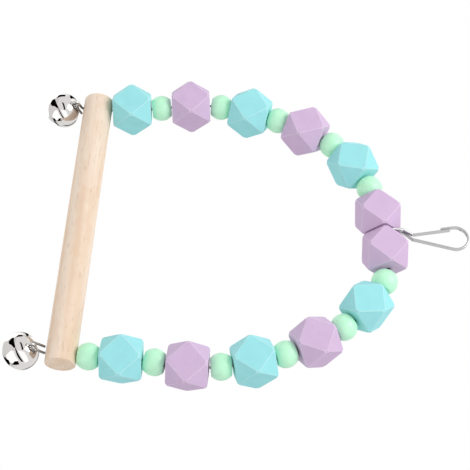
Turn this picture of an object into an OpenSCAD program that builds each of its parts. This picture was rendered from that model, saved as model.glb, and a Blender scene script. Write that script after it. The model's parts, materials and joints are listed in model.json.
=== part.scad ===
// Bird swing: a wooden perch hung from a wire arch threaded with painted beads, with a spring
// clip at the top and a jingle bell under each end of the perch.
// X runs along the perch, Z is up as the swing hangs, and the origin is where the clip's hook hangs.

/* [Perch] */
// Length of the perch
perch_len = 123; // [114:1:132]
// Diameter of the perch
perch_d = 12; // [9:0.5:15]
// Distance from each end of the perch to its cross hole
hole_inset = 4.5; // [3.5:0.5:8]
// Diameter of the cross holes for the wire
perch_hole_d = 2; // [1.6:0.1:2.6]
// Chamfer round the ends of the perch
perch_chamfer = 0.6; // [0.3:0.1:1]

/* [Wire] */
// Diameter of the frame wire
wire_d = 1; // [0.8:0.05:1.1]
// Length of each loop from its bend under the perch to its foot
loop_len = 5.8; // [5.4:0.2:8]
// Spacing of the two strands of a loop, centre to centre
loop_w = 2.6; // [2.4:0.1:3.4]
// Lean of the far loop out of the plane of the arch, in degrees
far_lean = 70; // [35:1:72]
// Lean of the near loop out of the plane of the arch, in degrees
near_lean = 41; // [35:1:50]

/* [Beads] */
// Size of the faceted beads across their square faces
facet_d = 16; // [14:0.5:17]
// Distance of the blunted corners of the faceted beads from their centre
facet_corner_r = 10.8; // [10.2:0.1:11.2]
// Diameter of the round beads
round_d = 10.6; // [9.4:0.2:11]
// Length of the round beads between their drilled ends
round_len = 8; // [7.6:0.1:8.8]
// Diameter of the bores of all beads
bead_bore_d = 2.4; // [1.8:0.1:3]
// Play between neighbouring beads
bead_gap = 0.2; // [0.15:0.05:0.4]

/* [Clip] */
// Thickness of the clip's strip
strip_thick = 0.8; // [0.6:0.05:0.9]
// Width of the clip's strip
strip_w = 1.6; // [1.3:0.1:1.8]
// Height of the pinched neck above the wire
neck_h = 12.4; // [12:0.1:13]
// Spacing of the two strands at the neck, centre to centre
neck_w = 2.2; // [1.8:0.1:2.4]
// Radius of the round foot of the eye, at the middle of the strip
eye_r = 2.9; // [2.6:0.1:3.2]
// Height of the hook's bow above the wire, at the middle of the strip
bow_h = 34.6; // [33:0.2:38]
// Radius of the hook's bow, at the middle of the strip
bow_r = 5; // [4.6:0.1:5.4]
// Length of the hook's straight tip
tip_len = 5; // [4:0.2:6]
// Length over which the springy arm lies on the hook's tip
arm_lap = 3.6; // [2:0.2:4.4]

/* [Bells] */
// Outer diameter of a bell
bell_d = 15; // [12:0.5:15.5]
// Thickness of the bell's sheet
bell_wall = 0.5; // [0.4:0.05:0.7]
// Width of the crossed slots
slot_w = 1; // [0.8:0.1:1.4]
// Diameter of the holes that end the slots
slot_hole_d = 2.4; // [2:0.1:3]
// Diameter of the pellet inside a bell
pellet_d = 4; // [3:0.5:5]
// Diameter of the shank's wire
shank_d = 0.9; // [0.7:0.05:1]
// Radius of the shank's eye, at the middle of its wire
shank_r = 1.5; // [1.4:0.05:1.7]
// Height of the shank's straight legs above the bell
shank_leg = 0.9; // [0.7:0.1:1.4]
// Angle by which the far bell is stored away from hanging straight, in degrees
far_tilt = 43; // [30:1:45]
// Angle by which the near bell is stored away from hanging straight, in degrees
near_tilt = 51; // [30:1:58]

/* [Hidden] */
$fn = 48;
// Play of pieces that turn in or on each other
play = 0.1;
// How far a cut overruns the face that it leaves by
over = 1;
// Play at the foot of the clip's springy arm
foot_gap = 0.05;
// Rest gap between the springy arm and the hook's tip
latch_gap = 0.15;
// How far the neck and the bow of the clip stand to the side of its eye
neck_x = 1;
bow_x = 0.4;
// Height above the wire at which the two strands of the clip's eye part
fork_h = 8.6;
// Width of the rounds and balls at the bends of strip and wire, as a share of its own
bend_share = 1.06;
// How far the bars of a wire stop short of the middle of a bend, as a share of its radius
bar_inset_share = 0.28;
// Depth of the clip's front and side views, past the whole clip
clip_depth = 4 * bow_r;
// Play of a shank's legs in the bell, and the length of their clinched ends
leg_play = 0.05;
clinch_len = 1.2;
// Rest gap under a pellet
pellet_gap = 0.3;
// Angle from the bottom of a bell to the holes that end its slots
slot_reach = 62;

// Order of the beads on each side of the clip's eye, from the far end of the perch: A aqua, L lilac, M mint
far_kinds = "AMLMAMLMAML";
near_kinds = "LMAMLMAMLMAM";
bead_kinds = str(far_kinds, near_kinds);
bead_count = len(bead_kinds);
clip_after = len(far_kinds) - 1;
// Angles by which the faceted beads lie turned on the wire, in its order
facet_turns = [0, 0, 3, -3, 3, -6, -6, -3, -3, 0, -11, -12];
// Heading of the wire in degrees above the perch's direction, by share of the beads' length
arch_heading_shares = [
    [0, 92], [0.03, 95], [0.09, 99], [0.17, 76], [0.28, 62], [0.37, 35], [0.455, 11],
    [0.51, 12], [0.56, -16], [0.61, -36], [0.7, -55], [0.8, -71], [0.9, -94], [0.975, -80], [1, -112]
];

perch_r = perch_d / 2;
wire_r = wire_d / 2;
facet_s = facet_d / 2;
round_r = round_d / 2;
bell_r = bell_d / 2;
hole_xs = [hole_inset, perch_len - hole_inset];

function dir(a) = [cos(a), sin(a)];
function in_plane(p) = [p[0], 0, p[1]];
function is_facet(i) = bead_kinds[i] != "M";
function half_len(i) = is_facet(i) ? facet_s : round_len / 2;
function other_leg(hypotenuse, leg) = sqrt(pow(hypotenuse, 2) - pow(leg, 2));
function end_r(i) = other_leg(is_facet(i) ? facet_corner_r : round_r, half_len(i));
function sum_to(v, n, i = 0) = i >= n ? 0 : v[i] + sum_to(v, n, i + 1);

bead_halves = [for (i = [0:bead_count - 1]) half_len(i)];
beads_len = 2 * sum_to(bead_halves, bead_count);
bead_mid_shares = [for (i = [0:bead_count - 1]) (2 * sum_to(bead_halves, i) + bead_halves[i]) / beads_len];

// Headings of the beads. bulge[0] leans the middle of the arch, and bulge[1] spreads its legs.
function headings(bulge) = [
    for (s = bead_mid_shares)
        let (inner = sin(180 * s))
        lookup(s, arch_heading_shares) * (1 + bulge[1] * inner) + bulge[0] * inner
];

// Lowest point of the clip's eye under the wire
eye_drop = wire_r + play + strip_w;
// Gap between beads i and i + 1, wide enough for both to turn where the wire bends between them
function joint_gap(h, i) =
    let (
        half_bend = tan(abs(h[i + 1] - h[i]) / 2),
        turn = bead_gap + 2 * min(end_r(i), end_r(i + 1)) * half_bend
    )
    i == clip_after ? max(turn, strip_thick + 2 * (play + eye_drop * half_bend)) : turn;

// Where the wire bends over a hole, high enough for the tilted end of the bead there to clear the perch
function over_hole(h, side) =
    let (i = side * (bead_count - 1), dip = min(end_r(i), hole_inset) * abs(tan(90 - abs(h[i]))))
    [hole_xs[side], perch_r + bead_gap + dip];

// Points where the wire bends, from bead i on: under the first bead, between the beads and under the last
function bends_from(h, i, p) =
    let (
        before = i == 0 ? 0 : joint_gap(h, i - 1) / 2,
        after = i == bead_count - 1 ? 0 : joint_gap(h, i) / 2,
        q = p + dir(h[i]) * (before + 2 * bead_halves[i] + after)
    )
    i == bead_count - 1 ? [p, q] : concat([p], bends_from(h, i + 1, q));
function bends(h) = bends_from(h, 0, over_hole(h, 0));

// How far the end of the arch misses the top of the near hole
function miss(bulge) = let (h = headings(bulge)) bends(h)[bead_count] - over_hole(h, 1);

// Newton's method on both bulges, so that the arch always ends over the near hole
function closed(bulge, rounds) =
    rounds <= 0 ? bulge :
    let (
        step = [0.1, 0.001],
        m = miss(bulge),
        da = (miss(bulge + [step[0], 0]) - m) / step[0],
        db = (miss(bulge + [0, step[1]]) - m) / step[1],
        det = da[0] * db[1] - db[0] * da[1],
        move = [m[0] * db[1] - m[1] * db[0], m[1] * da[0] - m[0] * da[1]] / det
    )
    closed(bulge - move, rounds - 1);

newton_rounds = 8;
bead_heading = headings(closed([0, 0], newton_rounds));
wire_bends = bends(bead_heading);

function bead_centre(i) =
    let (before = i == 0 ? 0 : joint_gap(bead_heading, i - 1) / 2)
    wire_bends[i] + dir(bead_heading[i]) * (before + bead_halves[i]);

// The clip's eye sits on the bend between its two beads, square to the mean heading there
eye_at = wire_bends[clip_after + 1];
eye_heading = (bead_heading[clip_after] + bead_heading[clip_after + 1]) / 2;

// Front view of the clip, from the wire in its eye: X across the strands and height
bow_at = [bow_x, bow_h - bow_r];
fork_at = dir(eye_heading + 90) * fork_h;
hook_neck = [neck_x + neck_w / 2, neck_h];
arm_neck = [neck_x - neck_w / 2, neck_h];
arm_foot = arm_neck + [0, strip_thick + foot_gap];
// Angle round centre c at which a line from p touches a circle of radius r. side is 1 for the point
// that lies ahead of p, turning to the left, and -1 for the other.
function touch_angle(p, c, r, side) =
    let (v = p - c)
    atan2(v[1], v[0]) + side * acos(r / norm(v));
bow_start = touch_angle(hook_neck, bow_at, bow_r, 1);
arm_touch = touch_angle(arm_foot, bow_at, bow_r - strip_thick - latch_gap, -1);
arm_dir = dir(arm_touch - 90);
arm_reach = other_leg(norm(arm_foot - bow_at), bow_r - strip_thick - latch_gap);
arm_len = arm_reach - tip_len + arm_lap;
arm_tip = arm_foot + arm_dir * arm_len;
tip_start = bow_at + dir(arm_touch) * bow_r;
tip_end = tip_start - arm_dir * tip_len;

// Side view of the clip: the round foot of the eye stands on the wire, and its strands meet at the neck
eye_centre = [0, eye_r - strip_w / 2 - wire_r - play];
eye_start = touch_angle([0, neck_h], eye_centre, eye_r, 1);

hang_at = in_plane(eye_at + bow_at + [0, bow_r - strip_thick / 2]);

// A loop leaves its hole straight down, bends under the perch and leans to its foot. Side 0 is the far end.
loop_leans = [far_lean, near_lean];
bell_tilts = [far_tilt, near_tilt];
function loop_dir(side) = [0, -sin(loop_leans[side]), -cos(loop_leans[side])];
function loop_bend(side) = [hole_xs[side], 0, -(perch_r + wire_r + play)];
function loop_aside(side) = [side == 0 ? loop_w : -loop_w, 0, 0];
function loop_foot(side) = loop_bend(side) + loop_aside(side) / 2 + loop_dir(side) * loop_len;

// Heights in a bell, whose own origin is its pivot on the foot of the loop
shank_drop = shank_r - shank_d / 2 - wire_r - play;
bell_drop = shank_drop + shank_leg + bell_r;
pellet_drop = bell_drop + bell_r - bell_wall - pellet_gap - pellet_d / 2;

function count_before(i, kind) = len([for (j = [0:1:i - 1]) if (bead_kinds[j] == kind) j]);
function colour_word(kind) = kind == "A" ? "aqua" : kind == "L" ? "lilac" : "mint";
function bead_name(i) = str(colour_word(bead_kinds[i]), "_bead_", count_before(i, bead_kinds[i]) + 1);
bell_ends = ["far", "near"];
bell_pieces = ["top", "petals", "shank", "pellet"];

// Places what is drawn from the perch's far end so that the hook hangs at the origin
module hung() translate(-hang_at) children();

// A straight round bar from a to b
module bar(a, b, r) {
    v = b - a;
    translate(a)
        rotate([0, acos(v[2] / norm(v)), atan2(v[1], v[0])])
            cylinder(h = norm(v), r = r);
}

// Round wire along points, with a ball at each bend. Inside the balls the bars end apart.
module wire_path(points, r) {
    last = len(points) - 1;
    for (i = [1:last]) {
        inset = (points[i] - points[i - 1]) / norm(points[i] - points[i - 1]) * r * bar_inset_share;
        bar(points[i - 1] + (i > 1 ? inset : [0, 0, 0]), points[i] - (i < last ? inset : [0, 0, 0]), r);
    }
    for (i = [1:1:len(points) - 2]) translate(points[i]) sphere(r = r * bend_share);
}

// Half a ring of round wire in the XY plane, on the side of +Y, with a ball at each end
module half_ring(ring_r, r) {
    rotate_extrude(angle = 180) translate([ring_r, 0]) circle(r = r);
    for (x = [-ring_r, ring_r]) translate([x, 0, 0]) sphere(r = r * bend_share);
}

// A flat strip seen from its edge, w thick, along points in the XY plane, with a round at each bend
module strip_path(points, w) {
    for (i = [1:len(points) - 1]) {
        v = points[i] - points[i - 1];
        translate(points[i - 1])
            rotate(atan2(v[1], v[0]))
                translate([0, -w / 2, -clip_depth / 2]) cube([norm(v), w, clip_depth]);
    }
    for (i = [1:1:len(points) - 2]) strip_round(points[i], w);
}

// The same strip bent round centre c from angle a to angle b, with a round at each end
module strip_arc(c, r, w, a, b) {
    translate(c) rotate(a) rotate_extrude(angle = b - a)
        translate([r - w / 2, -clip_depth / 2]) square([w, clip_depth]);
    for (angle = [a, b]) strip_round(c + dir(angle) * r, w);
}

module strip_round(p, w) translate(p) cylinder(h = clip_depth, d = w * bend_share, center = true);

module perch() {
    color([0.92, 0.83, 0.74]) hung() difference() {
        translate([perch_len / 2, 0, 0]) rotate([0, 90, 0]) {
            cylinder(h = perch_len - 2 * perch_chamfer, r = perch_r, center = true);
            for (side = [0, 1]) mirror([0, 0, side])
                translate([0, 0, perch_len / 2 - perch_chamfer])
                    cylinder(h = perch_chamfer, r1 = perch_r, r2 = perch_r - perch_chamfer);
        }
        for (x = hole_xs) translate([x, 0, 0])
            cylinder(h = perch_d + 2 * over, d = perch_hole_d, center = true);
    }
}

module wire_loop(side) {
    foot = loop_bend(side) + loop_dir(side) * (loop_len - loop_w / 2);
    wire_path([[hole_xs[side], 0, 0], loop_bend(side), foot], wire_r);
    bar(foot + loop_aside(side), loop_bend(side) + loop_aside(side) + loop_dir(side) * play, wire_r);
    translate(foot + loop_aside(side) / 2)
        rotate([-(90 + loop_leans[side]), 0, 0]) half_ring(loop_w / 2, wire_r);
}

module frame_wire() {
    arch = concat([[hole_xs[0], 0]], wire_bends, [[hole_xs[1], 0]]);
    color([0.75, 0.75, 0.76]) hung() {
        wire_path([for (p = arch) in_plane(p)], wire_r);
        for (side = [0, 1]) wire_loop(side);
    }
}

// A ball cut by the six square faces and eight triangle faces of a cuboctahedron
module facet_bead() {
    slab = 4 * facet_s;
    tilt = acos(1 / sqrt(3));
    difference() {
        intersection() {
            sphere(r = facet_corner_r);
            cube(facet_d, center = true);
            intersection_for(turn = [45:90:315])
                rotate([0, tilt, turn]) cube([slab, slab, 2 * facet_d / sqrt(3)], center = true);
        }
        rotate([0, 90, 0]) cylinder(h = facet_d + 2 * over, d = bead_bore_d, center = true);
    }
}

module round_bead() {
    difference() {
        intersection() {
            sphere(r = round_r);
            rotate([0, 90, 0]) cylinder(h = round_len, d = round_d + over, center = true);
        }
        rotate([0, 90, 0]) cylinder(h = round_len + 2 * over, d = bead_bore_d, center = true);
    }
}

module bead(i) {
    kind = bead_kinds[i];
    shade = kind == "A" ? [0.63, 0.89, 0.9] : kind == "L" ? [0.82, 0.72, 0.84] : [0.72, 0.96, 0.81];
    color(shade) hung()
        translate(in_plane(bead_centre(i))) rotate([0, -bead_heading[i], 0])
            if (is_facet(i))
                rotate([facet_turns[count_before(i, "A") + count_before(i, "L")], 0, 0]) facet_bead();
            else round_bead();
}

// The solid whose front view is the first child and whose side view is the second
module two_views() {
    translate(in_plane(eye_at)) intersection() {
        rotate([90, 0, 0]) children(0);
        rotate([90, 0, 90]) children(1);
    }
}

module clip_hook() {
    color([0.8, 0.8, 0.8]) hung() {
        two_views() {
            strip_path([-fork_at / 2, fork_at], strip_thick);
            union() {
                strip_arc(eye_centre, eye_r, strip_w, eye_start, 540 - eye_start);
                for (angle = [eye_start, 180 - eye_start])
                    strip_path([eye_centre + dir(angle) * eye_r, [0, neck_h]], strip_w);
            }
        }
        two_views() {
            union() {
                strip_round(fork_at, strip_thick);
                strip_path([fork_at, hook_neck, bow_at + dir(bow_start) * bow_r], strip_thick);
                strip_arc(bow_at, bow_r, strip_thick, bow_start, 360 + arm_touch);
                strip_path([tip_start, tip_end], strip_thick);
            }
            strip_path([eye_centre + dir(180 - eye_start) * eye_r, [0, neck_h], [0, bow_h + over]], strip_w);
        }
        two_views() {
            union() {
                strip_path([fork_at, arm_neck], strip_thick);
                for (p = [fork_at, arm_neck]) strip_round(p, strip_thick);
            }
            strip_path([eye_centre + dir(eye_start) * eye_r, [0, neck_h], [0, bow_h]], strip_w);
        }
    }
}

module clip_spring_arm() {
    color([0.84, 0.84, 0.84]) hung()
        two_views() {
            union() {
                strip_path([arm_foot, arm_tip], strip_thick);
                strip_round(arm_foot, strip_thick);
            }
            strip_path([[0, 0], [0, bow_h]], strip_w);
        }
}

// Turns a bell's own frame, with its pivot at the origin, to where it is stored
module on_loop(side) hung() translate(loop_foot(side)) rotate([bell_tilts[side], 0, 0]) children();

module bell_shell(up) {
    translate([0, 0, -bell_drop]) mirror([0, 0, up ? 0 : 1]) difference() {
        intersection() {
            sphere(r = bell_r);
            cylinder(h = bell_d, r = bell_d);
        }
        sphere(r = bell_r - bell_wall);
    }
}

module bell_top(side) {
    color([0.78, 0.78, 0.8]) on_loop(side) difference() {
        bell_shell(true);
        for (y = [-shank_r, shank_r])
            translate([0, y, -bell_drop]) cylinder(h = bell_d, d = shank_d + 2 * leg_play);
    }
}

module bell_petals(side) {
    hole_z = -bell_r * cos(slot_reach);
    color([0.7, 0.7, 0.72]) on_loop(side) difference() {
        bell_shell(false);
        translate([0, 0, -bell_drop]) for (turn = [0, 90, 180, 270]) rotate(turn) {
            translate([-slot_w / 2, -slot_w / 2, -bell_d]) cube([bell_d, slot_w, bell_d + hole_z]);
            translate([0, 0, hole_z]) rotate([0, 90, 0]) cylinder(h = bell_d, d = slot_hole_d);
        }
    }
}

module bell_shank(side) {
    clinch_r = bell_r - bell_wall - leg_play - shank_d / 2;
    function inside(leg, y) = [0, leg * y, other_leg(clinch_r, y) - bell_drop];
    color([0.72, 0.72, 0.74]) on_loop(side) {
        translate([0, 0, -shank_drop]) rotate([90, 0, 90]) half_ring(shank_r, shank_d / 2);
        for (leg = [-1, 1])
            wire_path(
                [[0, leg * shank_r, -shank_drop], inside(leg, shank_r), inside(leg, shank_r + clinch_len)],
                shank_d / 2
            );
    }
}

module bell_pellet(side) {
    color([0.5, 0.5, 0.52]) on_loop(side) translate([0, 0, -pellet_drop]) sphere(d = pellet_d);
}

clip_hook();
clip_spring_arm();
frame_wire();
perch();
for (i = [0:bead_count - 1])
    bead(i);
for (i = [0, 1]) {
    bell_top(i);
    bell_petals(i);
    bell_shank(i);
    bell_pellet(i);
}
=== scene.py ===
"""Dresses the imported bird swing: painted beads, a grained perch, bent wire, a strip clip and bells."""

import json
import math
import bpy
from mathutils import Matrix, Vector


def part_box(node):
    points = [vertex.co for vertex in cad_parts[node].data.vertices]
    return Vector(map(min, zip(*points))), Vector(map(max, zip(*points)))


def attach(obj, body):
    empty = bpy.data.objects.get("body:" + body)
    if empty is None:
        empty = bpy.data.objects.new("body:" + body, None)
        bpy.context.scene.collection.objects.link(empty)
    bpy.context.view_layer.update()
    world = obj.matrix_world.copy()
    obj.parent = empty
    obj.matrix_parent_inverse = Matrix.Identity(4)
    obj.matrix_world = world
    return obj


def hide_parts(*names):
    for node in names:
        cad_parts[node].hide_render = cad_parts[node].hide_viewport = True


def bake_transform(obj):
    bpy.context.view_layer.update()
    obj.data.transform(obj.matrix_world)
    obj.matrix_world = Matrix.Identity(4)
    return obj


bl_info = {
    "name": "Bird Swing",
    "version": (1, 0, 0),
    "blender": (4, 5, 0),
    "location": "View3D > Sidebar > Swing",
    "description": "Builds a beaded bird swing with its perch, clip and bells around its solid model",
    "category": "Object",
}

import bmesh
import bpy
from mathutils import Matrix, Vector

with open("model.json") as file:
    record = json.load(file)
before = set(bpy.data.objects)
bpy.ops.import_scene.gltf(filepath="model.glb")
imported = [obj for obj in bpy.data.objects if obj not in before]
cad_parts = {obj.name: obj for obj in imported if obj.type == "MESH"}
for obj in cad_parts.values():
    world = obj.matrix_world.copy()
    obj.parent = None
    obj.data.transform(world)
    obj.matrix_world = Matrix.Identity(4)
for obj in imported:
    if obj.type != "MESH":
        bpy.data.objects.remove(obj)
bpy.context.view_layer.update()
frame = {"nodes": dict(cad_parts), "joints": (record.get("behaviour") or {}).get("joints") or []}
JOINTS = {joint["name"]: joint for joint in frame["joints"]}

MM = 0.001
X_AXIS = Vector((1, 0, 0))
# Nodes of the beads in their order on the wire, from the far end of the perch
BEADS = [name.removesuffix("_spin") for name in JOINTS if name.endswith("_spin")]
FACETED = [name for name in BEADS if not name.startswith("mint")]
ENDS = ("far", "near")
# The paint's pattern shifts by this much from bead to bead, so that no two show the same saw lines
PATTERN_STEP = 31 * MM


def pivot(joint):
    """Point that a joint turns about"""
    return Vector(JOINTS[joint]["pos_m"])


def axis(joint):
    """Direction of a joint's axis"""
    return Vector(JOINTS[joint]["axis"])


def extent(node, side):
    """Size of a node along X, Y or Z, in millimetres"""
    low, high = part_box(node)
    return round((high[side] - low[side]) / MM, 1)


def srgb(code):
    """Linear colour of a hex code"""
    parts = [int(code[i : i + 2], 16) / 255 for i in (1, 3, 5)]
    return [p / 12.92 if p <= 0.04045 else ((p + 0.055) / 1.055) ** 2.4 for p in parts]


def length(name, description, mm):
    """Property that holds a length, given in millimetres"""
    return bpy.props.FloatProperty(
        name=name, description=description, default=mm * MM, precision=5, subtype="DISTANCE", unit="LENGTH"
    )


def angle(name, description, degrees):
    """Property that holds an angle, given in degrees"""
    return bpy.props.FloatProperty(
        name=name, description=description, default=math.radians(degrees), subtype="ANGLE", unit="ROTATION"
    )


def share(name, description, value):
    """Property that holds a plain factor"""
    return bpy.props.FloatProperty(name=name, description=description, default=value, subtype="FACTOR")


def colour(name, description, code):
    """Property that holds a colour, given as a hex code"""
    return bpy.props.FloatVectorProperty(
        name=name, description=description, default=srgb(code), size=3, min=0, max=1, subtype="COLOR"
    )


class SwingBeads(bpy.types.PropertyGroup):
    """Sizes of the beads"""

    facet_size: length("Faceted bead", "Size of a faceted bead across its square faces", 16)
    corner_reach: length("Corner reach", "Distance of a blunted corner from the bead's middle", 10.75)
    ridge: length("Ridge", "Width by which the ridges between facets are sanded off", 0.3)
    round_size: length("Round bead", "Diameter of a round bead", 10.6)
    round_length: length("Round length", "Length of a round bead between its drilled ends", 8)
    round_edge: length("Round bead edge", "Radius of the edge round a drilled end", 0.35)
    bore: length("Bore", "Diameter of the bores", 2.4)
    bore_edge: length("Bore edge", "Width of the broken edge of a bore", 0.15)
    turns: bpy.props.FloatVectorProperty(
        name="Facet turns",
        description="How far each faceted bead lies turned on the wire, from the far end of the perch",
        default=[math.radians(a) for a in (0, 0, 3, -3, 3, -6, -6, -3, -3, 0, -11, -12)],
        size=12,
        subtype="NONE",
        unit="ROTATION",
    )


class SwingPerch(bpy.types.PropertyGroup):
    """Sizes of the perch"""

    edge: length("End round", "Radius of the round at the ends of the perch", 0.7)
    hole_inset: length("Hole inset", "Distance from each end to its cross hole", 4.5)
    hole: length("Hole", "Diameter of the cross holes", 2)
    ring_space: length("Ring spacing", "Width of a growth ring of the wood", 1.5)
    pith_aside: length("Pith offset", "Distance of the pith from the middle of the dowel", 2.2)


class SwingWire(bpy.types.PropertyGroup):
    """Sizes of the frame wire"""

    thickness: length("Wire", "Diameter of the frame wire", 1)
    bend: length("Bend radius", "Radius at the middle of the wire where it bends", 1.4)
    play: length("Play", "Play between the wire and what it passes", 0.1)


class SwingClip(bpy.types.PropertyGroup):
    """Sizes of the clip"""

    strip_thick: length("Strip thickness", "Thickness of the clip's strip", 0.8)
    strip_width: length("Strip width", "Width of the clip's strip", 1.6)
    strip_edge: length("Strip edge", "Radius of the strip's long edges", 0.16)
    eye_radius: length("Eye radius", "Radius of the eye's round foot, at the middle of the strip", 2.9)
    eye_drop: length("Eye drop", "Depth of the strip's middle below the wire", 1.4)
    fork_height: length("Fork height", "Height above the wire at which the strands part", 8.6)
    neck_width: length("Neck width", "Spacing of the two strands at the neck", 2.2)
    foot_rise: length("Arm foot rise", "Height of the springy arm's foot above the neck", 0.85)
    bow_radius: length("Bow radius", "Radius of the hook's bow, at the middle of the strip", 5)
    tip_length: length("Tip length", "Length of the hook's straight tip", 5)
    latch_gap: length("Latch gap", "Gap between the springy arm and the hook's tip", 0.15)
    arm_lap: length("Arm lap", "Length over which the springy arm lies on the tip", 3.6)
    bend: length("Bend softness", "Length over which a sharp bend of the strip is rounded", 1.6)


class SwingBells(bpy.types.PropertyGroup):
    """Sizes of the bells"""

    size: length("Bell", "Outer diameter of a bell", extent("far_bell_top", 0))
    wall: length("Wall", "Thickness of the bell's sheet", 0.5)
    slot: length("Slot", "Width of the crossed slots", 1)
    slot_hole: length("Slot hole", "Diameter of the holes that end the slots", 2.4)
    slot_reach: angle("Slot reach", "Angle from the bell's bottom to the slot holes", 62)
    flank_lean: angle("Flank lean", "Angle by which the petals' flat flanks lean to the bell's axis", 37)
    flank_share: share("Flank distance", "Distance of the flanks from the bell's middle, in its radius", 0.88)
    press_corner: share("Pressed corner", "Softness of the corners that the press leaves", 0.07)
    rim_roll: length("Rim roll", "Radius of the rolled rim of the slotted half", 0.3)
    shank_wire: length("Shank wire", "Diameter of the shank's wire", 0.9)
    shank_radius: length("Shank radius", "Radius of the shank's eye", 1.5)
    shank_drop: length("Shank drop", "Depth of the eye's middle below the loop's foot", 0.45)
    shank_leg: length("Shank leg", "Height of the shank's legs above the bell", 0.9)
    clinch: length("Clinch", "Length of the shank's ends bent out inside the bell", 1.2)


class SwingColours(bpy.types.PropertyGroup):
    """Colours of the finishes"""

    aqua: colour("Aqua paint", "Colour of the aqua beads", "#9BE2E6")
    lilac: colour("Lilac paint", "Colour of the lilac beads", "#D0B5D6")
    mint: colour("Mint lacquer", "Colour of the round beads", "#C1FAD5")
    wood: colour("Pale wood", "Colour of the wood between its streaks", "#F1DFCD")
    streak: colour("Wood streaks", "Colour of the late wood", "#E6CAB0")
    pore: colour("Wood pores", "Colour of the fine open pores", "#B39173")
    steel: colour("Wire steel", "Colour of the drawn wire", "#918F8E")
    zinc: colour("Clip zinc", "Colour of the clip's plating", "#BDBDBD")
    nickel: colour("Bell nickel", "Colour of the bells' plating", "#D9D6D4")
    ball: colour("Pellet steel", "Colour of the steel balls in the bells", "#8E8E90")
    floor: colour("Floor", "Colour of the floor", "#F4F4F3")


class SwingStage(bpy.types.PropertyGroup):
    """Camera and light"""

    target: bpy.props.FloatVectorProperty(
        name="Target", description="Point that the camera looks at", default=(4.59 * MM, 0, -92.91 * MM),
        size=3, precision=5, subtype="TRANSLATION", unit="LENGTH",
    )
    distance: length("Distance", "Distance of the camera from its target", 514.06)
    azimuth: angle("Azimuth", "Camera's place round the swing", 29.699)
    elevation: angle("Elevation", "Camera's place above the horizon", 1.863)
    roll: angle("Roll", "Turn of the camera about its own line of sight", 93.525)
    focal: bpy.props.FloatProperty(
        name="Focal length", description="Focal length in millimetres", default=98.07, unit="CAMERA"
    )
    ambient: share("Ambient", "Strength of the light from all round", 0.78)
    key_power: bpy.props.FloatProperty(
        name="Key power", description="Power of the softbox in watts", default=3.6, unit="POWER"
    )
    key_right: angle("Key right", "How far the softbox hangs to the right of the camera's line", 56)
    key_up: angle("Key up", "How far the softbox hangs above the camera's line", 34)
    key_size: length("Key size", "Side of the softbox", 500)
    key_distance: length("Key distance", "Distance of the softbox from the camera's target", 900)
    # Distance of the cards that paint dark and bright reflections into the metal; they neither light nor
    # shade the swing
    painted_reflection_reach: length("Tent reach", "Distance of the light tent's cards from the bells", 420)
    floor_depth: length("Floor depth", "Depth of the floor below the hook", 520)
    floor_size: length("Floor size", "Side of the floor", 1500)
    floor_lift: share("Floor lift", "Light that the floor adds where the camera sees it", 0.21)


# Nodes and materials


def feed(node, links):
    """Links a node's inputs to outputs of other nodes. A node as the source stands for its first output."""
    for socket, source in links.items():
        if isinstance(source, bpy.types.Node):
            source = source.outputs[0]
        node.id_data.links.new(source, node.inputs[socket])


def add(tree, kind, links=(), values=(), **settings):
    """Adds a node, sets its properties and its input values, and links its inputs"""
    node = tree.nodes.new(kind)
    for name, value in settings.items():
        setattr(node, name, value)
    for socket, value in dict(values).items():
        node.inputs[socket].default_value = value
    feed(node, dict(links))
    return node


def finish_of(name, base, roughness, metallic=0, specular=0.5):
    """New material with its tree and its shader, which has that colour, roughness, metallic and specular"""
    made = bpy.data.materials.new(name)
    made.use_nodes = True
    shader = made.node_tree.nodes["Principled BSDF"]
    settings = {"Metallic": metallic, "Roughness": roughness, "Specular IOR Level": specular}
    for socket, value in {"Base Color": (*base, 1), **settings}.items():
        shader.inputs[socket].default_value = value
    return made, made.node_tree, shader


def tinted(base, factor):
    """A lighter or darker shade of a colour"""
    return (*[min(1, c * factor) for c in base], 1)


def wave_scale(period):
    """Scale of a wave texture whose bands repeat after that length, as its phase is 20 times its place"""
    return 2 * math.pi / 20 / period


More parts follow.
